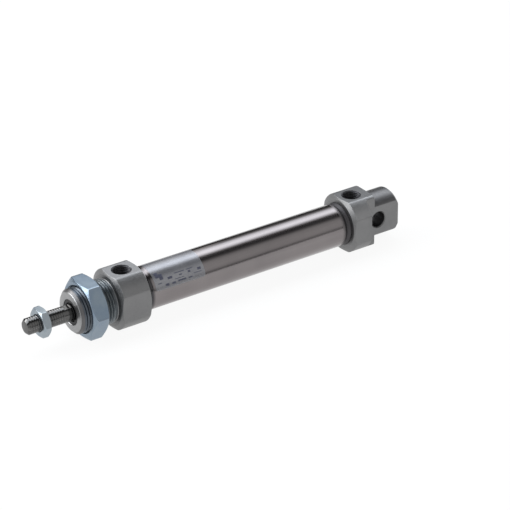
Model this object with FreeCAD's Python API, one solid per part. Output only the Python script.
import FreeCAD, Part
import math
import os

# Round-body pneumatic cylinder, bore 20 mm, stroke 80 mm, double acting.
# Millimetres. X runs along the cylinder: the rod leaves towards -X and the
# rear eye is at +X. Z is up, where both air ports open. The origin is on the
# centre line, on the shoulder where the threaded nose meets the front cap.
# The rod is drawn fully retracted. Screw threads are plain cylinders at
# their major diameter.

# Main sizes
stroke = 80.0
bore_radius = 10.0
tube_radius = 10.65
rod_radius = 4.0

# Caps: round bar with four flats, and a cone at each turned end
bar_radius = 15.0
flat_distance = 13.5
end_face_radius = 12.5
end_cone_length = 1.2
front_cap_length = 16.5
rear_block_start = 132.8
rear_block_end = 148.6

# Threaded nose on the front cap
nose_radius = 11.0
nose_length = 20.0
nose_chamfer = 1.5

# Rear eye
pivot_x = 71.0 + stroke
pivot_radius = 4.0
pivot_chamfer = 0.5
eye_radius = 11.0
eye_half_width = 8.0
eye_end = pivot_x + 12.0
eye_end_chamfer = 1.3
eye_flat_start = 143.0
eye_corner_radius = 1.0

# Air ports, tapped G1/8
port_radius = 4.3
port_mouth_radius = 4.9
port_floor = 5.6
port_passage_radius = 1.8
front_port_x = 8.2
rear_port_x = 140.1
air_bore_radius = 5.0

# Joint between tube and caps: a short socket outside the tube, a spigot
# inside it, and a bead rolled into a groove of the spigot
front_socket_floor = 13.2
rear_socket_floor = 135.4
spigot_radius = 9.95
bead_offset = 2.0
bead_half_width = 1.7
bead_depth = 0.8
tube_seal_radius = 0.64
tube_seal_floor = 8.7
tube_seal_half_width = 0.9
tube_seal_offset = 5.4
front_spigot_end = 25.4
rear_spigot_end = 124.8

# Rubber bumpers set into the spigot ends
bumper_outer = 8.6
bumper_inner = 6.8
front_bumper_start = 24.4
front_bumper_end = 26.0
rear_bumper_start = 124.2
rear_bumper_end = 125.8
nut_room_radius = 6.6
nut_room_end = 129.5
rear_air_bore_end = 143.5

# Rod guide in the nose
bush_radius = 5.5
bush_start = -14.0
bush_end = -1.0
running_clearance = 0.03
seal_pocket_radius = 6.2
wiper_start = -18.8
retainer_start = -19.6
retainer_inner_radius = 4.7

# Rod ends
rod_thread_length = 20.0
rod_shoulder_x = -24.0
rod_tip_chamfer = 1.0
wrench_flat_half = 3.5
wrench_flat_end = -20.5
rod_stub_radius = 3.0
rod_stub_end = 128.1

# Piston
end_gap = 0.1
piston_radius = 9.75
seal_contact_radius = 9.96
piston_start = front_bumper_end + end_gap + stroke
piston_end = rear_bumper_start - end_gap
piston_half_length = 7.0
magnet_radius = 7.5
magnet_hub_radius = 5.0
magnet_gap = 0.05
seal_groove_radius = 7.0
seal_groove_offset = 2.0
seal_groove_width = 3.0
seal_gap = 0.15
wear_ring_inner = 7.9
rod_seal_radius = 0.49
rod_seal_offset = 2.6

# Nuts: (half of the distance across flats, thickness, place of front face)
mounting_nut_half_flats = 13.5
mounting_nut_length = 8.5
mounting_nut_front = -15.5
rod_nut_half_flats = 6.5
rod_nut_length = 4.0
rod_nut_front = -37.5
piston_nut_half_flats = 5.0
piston_nut_length = 3.2

# Label wrapped part of the way round the tube, angles from +Z towards -Y
label_start = 20.6
label_end = 48.0
label_thickness = 0.08
label_low_angle = 77.0
label_high_angle = -18.0

ORIGIN = FreeCAD.Vector(0, 0, 0)
X_AXIS = FreeCAD.Vector(1, 0, 0)
Y_AXIS = FreeCAD.Vector(0, 1, 0)
Z_AXIS = FreeCAD.Vector(0, 0, 1)


def bar_x(start, end, radius):
    """Solid cylinder along X."""
    base = FreeCAD.Vector(start, 0, 0)
    return Part.makeCylinder(radius, end - start, base, X_AXIS)


def ring_x(start, end, outer, inner):
    """Plain ring along X."""
    return bar_x(start, end, outer).cut(bar_x(start, end, inner))


def turned(points):
    """Turn a closed outline of (x, radius) points about the X axis."""
    corners = [FreeCAD.Vector(x, 0, radius) for x, radius in points]
    wire = Part.makePolygon(corners + [corners[0]])
    return Part.Face(wire).revolve(ORIGIN, X_AXIS, 360)


def o_ring(centre_x, ring_radius, section_radius):
    """Round-section ring about the X axis."""
    centre = FreeCAD.Vector(centre_x, 0, 0)
    return Part.makeTorus(ring_radius, section_radius, centre, X_AXIS)


def flats_box(start, end, half_width, half_height):
    """Box centred on the X axis, used to mill flats."""
    corner = FreeCAD.Vector(start, -half_width, -half_height)
    return Part.makeBox(end - start, 2 * half_width, 2 * half_height, corner)


def hex_nut(front, length, half_flats, hole_radius, flat_on_top):
    """Hexagonal nut with chamfered corners and a countersunk hole."""
    corner_radius = half_flats / math.cos(math.pi / 6)
    first = 0 if flat_on_top else math.pi / 6
    corners = []
    for index in range(7):
        angle = first + index * math.pi / 3
        y = corner_radius * math.cos(angle)
        z = corner_radius * math.sin(angle)
        corners.append(FreeCAD.Vector(front, y, z))
    prism = Part.Face(Part.makePolygon(corners)).extrude(X_AXIS * length)
    face_radius = half_flats * 0.97
    cone = (corner_radius - face_radius) * math.tan(math.pi / 6)
    back = front + length
    envelope = turned([
        (front, 0),
        (front, face_radius),
        (front + cone, corner_radius),
        (back - cone, corner_radius),
        (back, face_radius),
        (back, 0),
    ])
    sink = 0.06 * half_flats
    hole = turned([
        (front, 0),
        (front, hole_radius + sink),
        (front + sink, hole_radius),
        (back - sink, hole_radius),
        (back, hole_radius + sink),
        (back, 0),
    ])
    return prism.common(envelope).cut(hole)


def port_cut(centre_x):
    """Tapped port, its countersunk mouth and the passage to the air bore."""
    mouth_depth = port_mouth_radius - port_radius
    outside = flat_distance + 1.0
    base = FreeCAD.Vector(centre_x, 0, port_floor)
    hole = Part.makeCylinder(port_radius, outside - port_floor, base, Z_AXIS)
    sink_base = FreeCAD.Vector(centre_x, 0, flat_distance - mouth_depth)
    sink = Part.makeCone(port_radius, port_mouth_radius, mouth_depth, sink_base, Z_AXIS)
    passage_base = FreeCAD.Vector(centre_x, 0, 0)
    passage = Part.makeCylinder(port_passage_radius, port_floor + 0.5, passage_base, Z_AXIS)
    return hole.fuse(sink).fuse(passage)


def spigot_grooves(cap_face, direction):
    """Grooves of a spigot for the rolled bead and for the tube O-ring."""
    bead_x = cap_face + direction * bead_offset
    bead = ring_x(
        bead_x - bead_half_width - 0.2,
        bead_x + bead_half_width + 0.2,
        spigot_radius + 1.0,
        spigot_radius - bead_depth - 0.1,
    )
    seal_x = cap_face + direction * tube_seal_offset
    seal = ring_x(
        seal_x - tube_seal_half_width,
        seal_x + tube_seal_half_width,
        spigot_radius + 1.0,
        tube_seal_floor,
    )
    return bead.fuse(seal)


def make_front_cap():
    """Front cap: threaded nose, block with flats and port, and spigot."""
    nose_front = -nose_length
    block = turned([
        (0, 0),
        (0, end_face_radius),
        (end_cone_length, bar_radius),
        (front_cap_length - end_cone_length, bar_radius),
        (front_cap_length, end_face_radius),
        (front_cap_length, 0),
    ])
    block = block.common(flats_box(0, front_cap_length, flat_distance, flat_distance))
    socket = ring_x(front_socket_floor, front_cap_length, tube_radius, spigot_radius)
    nose = turned([
        (nose_front, 0),
        (nose_front, nose_radius - nose_chamfer),
        (nose_front + nose_chamfer, nose_radius),
        (0.5, nose_radius),
        (0.5, 0),
    ])
    spigot = bar_x(front_socket_floor - 0.5, front_spigot_end, spigot_radius)
    body = block.cut(socket).fuse(nose).fuse(spigot)
    bores = bar_x(nose_front, bush_start, seal_pocket_radius)
    bores = bores.fuse(bar_x(bush_start, bush_end, bush_radius))
    bores = bores.fuse(bar_x(bush_end, front_spigot_end, air_bore_radius))
    bores = bores.fuse(bar_x(front_bumper_start, front_spigot_end, bumper_outer))
    body = body.cut(bores).cut(port_cut(front_port_x))
    return body.cut(spigot_grooves(front_cap_length, 1)).removeSplitter()


def milled_side(direction):
    """Metal removed beside the rear eye, with a round inner corner."""
    outer = direction * (bar_radius + 1.0)
    inner = direction * eye_half_width
    low = min(outer, inner)
    side = Part.makeBox(
        eye_end - eye_flat_start + 1.0,
        abs(outer - inner),
        2 * bar_radius + 2.0,
        FreeCAD.Vector(eye_flat_start, low, -bar_radius - 1.0),
    )
    corner = [
        edge for edge in side.Edges
        if abs(edge.CenterOfMass.x - eye_flat_start) < 0.01
        and abs(edge.CenterOfMass.y - inner) < 0.01
        and abs(edge.CenterOfMass.z) < 0.01
    ]
    return side.makeFillet(eye_corner_radius, corner)


def pivot_cut():
    """Cross hole of the eye, countersunk on both sides."""
    reach = eye_half_width
    hole = Part.makeCylinder(
        pivot_radius, 2 * reach, FreeCAD.Vector(pivot_x, -reach, 0), Y_AXIS)
    wide = pivot_radius + pivot_chamfer
    near = Part.makeCone(
        wide, pivot_radius, pivot_chamfer, FreeCAD.Vector(pivot_x, -reach, 0), Y_AXIS)
    far = Part.makeCone(
        wide, pivot_radius, pivot_chamfer, FreeCAD.Vector(pivot_x, reach, 0), -Y_AXIS)
    return hole.fuse(near).fuse(far)


def make_rear_cap():
    """Rear cap: spigot, block with flats and port, and pivot eye."""
    block = turned([
        (rear_block_start, 0),
        (rear_block_start, end_face_radius),
        (rear_block_start + end_cone_length, bar_radius),
        (rear_block_end - 0.3, bar_radius),
        (rear_block_end, bar_radius - 0.3),
        (rear_block_end, 0),
    ])
    box = flats_box(rear_block_start, rear_block_end, flat_distance, flat_distance)
    block = block.common(box)
    socket = ring_x(rear_block_start, rear_socket_floor, tube_radius, spigot_radius)
    spigot = bar_x(rear_spigot_end, rear_socket_floor + 0.5, spigot_radius)
    eye = turned([
        (rear_block_end - 0.5, 0),
        (rear_block_end - 0.5, eye_radius),
        (eye_end - eye_end_chamfer, eye_radius),
        (eye_end, eye_radius - eye_end_chamfer),
        (eye_end, 0),
    ])
    body = block.cut(socket).fuse(spigot).fuse(eye)
    body = body.cut(milled_side(1)).cut(milled_side(-1)).cut(pivot_cut())
    bores = bar_x(rear_spigot_end, nut_room_end, nut_room_radius)
    bores = bores.fuse(bar_x(nut_room_end, rear_air_bore_end, air_bore_radius))
    bores = bores.fuse(bar_x(rear_spigot_end, rear_bumper_end, bumper_outer))
    body = body.cut(bores).cut(port_cut(rear_port_x))
    return body.cut(spigot_grooves(rear_block_start, -1)).removeSplitter()


def tube_outline(radius):
    """Points along one wall of the tube, with the two rolled beads."""
    points = [(front_socket_floor, radius)]
    for bead_x in (front_cap_length + bead_offset, rear_block_start - bead_offset):
        points.append((bead_x - bead_half_width, radius))
        points.append((bead_x - 0.4 * bead_half_width, radius - bead_depth))
        points.append((bead_x + 0.4 * bead_half_width, radius - bead_depth))
        points.append((bead_x + bead_half_width, radius))
    points.append((rear_socket_floor, radius))
    return points


def make_barrel_tube():
    """Thin tube with a bead rolled into it at each end."""
    outer = tube_outline(tube_radius)
    inner = tube_outline(bore_radius)
    return turned(outer + inner[::-1])


def make_piston_rod():
    """Rod with threaded front end, wrench flats and a stepped rear stub."""
    tip = rod_shoulder_x - rod_thread_length
    rod = turned([
        (tip, 0),
        (tip, rod_radius - rod_tip_chamfer),
        (tip + rod_tip_chamfer, rod_radius),
        (piston_start, rod_radius),
        (piston_start, rod_stub_radius),
        (rod_stub_end - 0.5, rod_stub_radius),
        (rod_stub_end, rod_stub_radius - 0.5),
        (rod_stub_end, 0),
    ])
    length = wrench_flat_end - rod_shoulder_x
    for low in (wrench_flat_half, -wrench_flat_half - 2.0):
        corner = FreeCAD.Vector(rod_shoulder_x, -rod_radius - 1.0, low)
        rod = rod.cut(Part.makeBox(length, 2 * rod_radius + 2.0, 2.0, corner))
    return rod


def seal_groove(start):
    """Ring of metal removed from a piston half for its lip seal."""
    end = start + seal_groove_width
    return ring_x(start, end, piston_radius + 1.0, seal_groove_radius)


def make_piston_front_half():
    """Front half of the piston, with the hub that carries the magnet."""
    joint = piston_start + piston_half_length
    hub_end = piston_end - piston_half_length
    half = bar_x(piston_start, joint, piston_radius)
    half = half.fuse(bar_x(joint - 0.5, hub_end, magnet_hub_radius))
    half = half.cut(bar_x(piston_start, hub_end, rod_stub_radius))
    half = half.cut(seal_groove(piston_start + seal_groove_offset))
    seal_x = piston_start + rod_seal_offset
    recess = bar_x(seal_x - 0.6, seal_x + 0.6, rod_stub_radius + 1.0)
    return half.cut(recess).removeSplitter()


def make_piston_rear_half():
    """Rear half of the piston."""
    start = piston_end - piston_half_length
    half = ring_x(start, piston_end, piston_radius, rod_stub_radius)
    groove_start = piston_end - seal_groove_offset - seal_groove_width
    return half.cut(seal_groove(groove_start))


def make_piston_magnet():
    """Ring magnet between the piston halves."""
    start = piston_start + piston_half_length + magnet_gap
    end = piston_end - piston_half_length - magnet_gap
    return ring_x(start, end, magnet_radius, magnet_hub_radius + magnet_gap)


def make_wear_ring():
    """Guide ring over the magnet, which keeps the piston off the tube."""
    start = piston_start + piston_half_length + seal_gap
    end = piston_end - piston_half_length - seal_gap
    return ring_x(start, end, seal_contact_radius, wear_ring_inner)


def lip_seal(lip_x, direction, inner, outer, length):
    """Lip seal whose lips point away from its heel at lip_x."""
    heel_x = lip_x - direction * length
    notch_x = lip_x - direction * 0.5 * length
    middle = 0.5 * (inner + outer)
    spread = 0.28 * (outer - inner)
    return turned([
        (heel_x, inner),
        (lip_x, inner),
        (lip_x, middle - spread),
        (notch_x, middle),
        (lip_x, middle + spread),
        (lip_x, outer),
        (notch_x, outer - 0.3),
        (heel_x, outer - 0.3),
    ])


def make_front_piston_seal():
    """Lip seal of the front chamber."""
    lip_x = piston_start + seal_groove_offset + seal_gap
    length = seal_groove_width - 2 * seal_gap
    inner = seal_groove_radius + seal_gap
    return lip_seal(lip_x, -1, inner, seal_contact_radius, length)


def make_rear_piston_seal():
    """Lip seal of the rear chamber."""
    lip_x = piston_end - seal_groove_offset - seal_gap
    length = seal_groove_width - 2 * seal_gap
    inner = seal_groove_radius + seal_gap
    return lip_seal(lip_x, 1, inner, seal_contact_radius, length)


def make_rod_seal():
    """Small O-ring between the rod stub and the piston."""
    ring_radius = rod_stub_radius + 0.5
    return o_ring(piston_start + rod_seal_offset, ring_radius, rod_seal_radius)


def make_tube_seal(cap_face, direction):
    """O-ring between a cap spigot and the tube."""
    centre_x = cap_face + direction * tube_seal_offset
    return o_ring(centre_x, bore_radius - 0.01 - tube_seal_radius, tube_seal_radius)


def make_rod_bushing():
    """Plain bearing that guides the rod."""
    inner = rod_radius + running_clearance
    return ring_x(bush_start, bush_end, bush_radius, inner)


def make_rod_wiper_seal():
    """Combined rod seal and wiper: a sealing lip behind, a wiping lip in front."""
    inner = rod_radius + running_clearance
    outer = seal_pocket_radius
    middle = 0.5 * (wiper_start + bush_start)
    return turned([
        (bush_start, inner + 0.9),
        (bush_start, outer),
        (wiper_start, outer),
        (wiper_start, inner + 0.7),
        (wiper_start + 0.3, inner),
        (wiper_start + 0.8, inner),
        (middle, inner + 0.6),
        (bush_start - 0.9, inner),
        (bush_start - 0.5, inner),
    ])


def make_seal_retainer():
    """Thin steel ring that holds the wiper seal in its pocket."""
    return ring_x(retainer_start, wiper_start, seal_pocket_radius, retainer_inner_radius)


def make_label():
    """Thin label on the tube, over its top and near side."""
    outer = tube_radius + label_thickness
    sweep = label_low_angle - label_high_angle
    first = math.radians(label_high_angle)
    along = FreeCAD.Vector(0, -math.sin(first), math.cos(first))
    inner_low = FreeCAD.Vector(label_start, 0, 0) + along * tube_radius
    outer_low = FreeCAD.Vector(label_start, 0, 0) + along * outer
    outer_high = FreeCAD.Vector(label_end, 0, 0) + along * outer
    inner_high = FreeCAD.Vector(label_end, 0, 0) + along * tube_radius
    wire = Part.makePolygon([inner_low, outer_low, outer_high, inner_high, inner_low])
    return Part.Face(wire).revolve(ORIGIN, X_AXIS, sweep)


def build():
    """All sub-parts by node name."""
    nut_gap = running_clearance
    return {
        "barrel_tube": make_barrel_tube(),
        "front_cap": make_front_cap(),
        "rear_cap": make_rear_cap(),
        "rod_bushing": make_rod_bushing(),
        "rod_wiper_seal": make_rod_wiper_seal(),
        "seal_retainer": make_seal_retainer(),
        "front_tube_seal": make_tube_seal(front_cap_length, 1),
        "rear_tube_seal": make_tube_seal(rear_block_start, -1),
        "front_bumper": ring_x(
            front_bumper_start, front_bumper_end, bumper_outer, bumper_inner),
        "rear_bumper": ring_x(
            rear_bumper_start, rear_bumper_end, bumper_outer, bumper_inner),
        "label": make_label(),
        "piston_rod": make_piston_rod(),
        "piston_front_half": make_piston_front_half(),
        "piston_rear_half": make_piston_rear_half(),
        "piston_magnet": make_piston_magnet(),
        "rod_seal": make_rod_seal(),
        "piston_nut": hex_nut(
            piston_end, piston_nut_length, piston_nut_half_flats, rod_stub_radius, True),
        "front_piston_seal": make_front_piston_seal(),
        "rear_piston_seal": make_rear_piston_seal(),
        "piston_wear_ring": make_wear_ring(),
        "mounting_nut": hex_nut(
            mounting_nut_front, mounting_nut_length, mounting_nut_half_flats,
            nose_radius + nut_gap, True),
        "rod_nut": hex_nut(
            rod_nut_front, rod_nut_length, rod_nut_half_flats,
            rod_radius + nut_gap, True),
    }


os.makedirs("parts", exist_ok=True)
for node, shape in build().items():
    if not shape.isValid() or len(shape.Solids) != 1:
        raise ValueError(node + " is not one valid solid")
    shape.exportStep("parts/" + node + ".step")
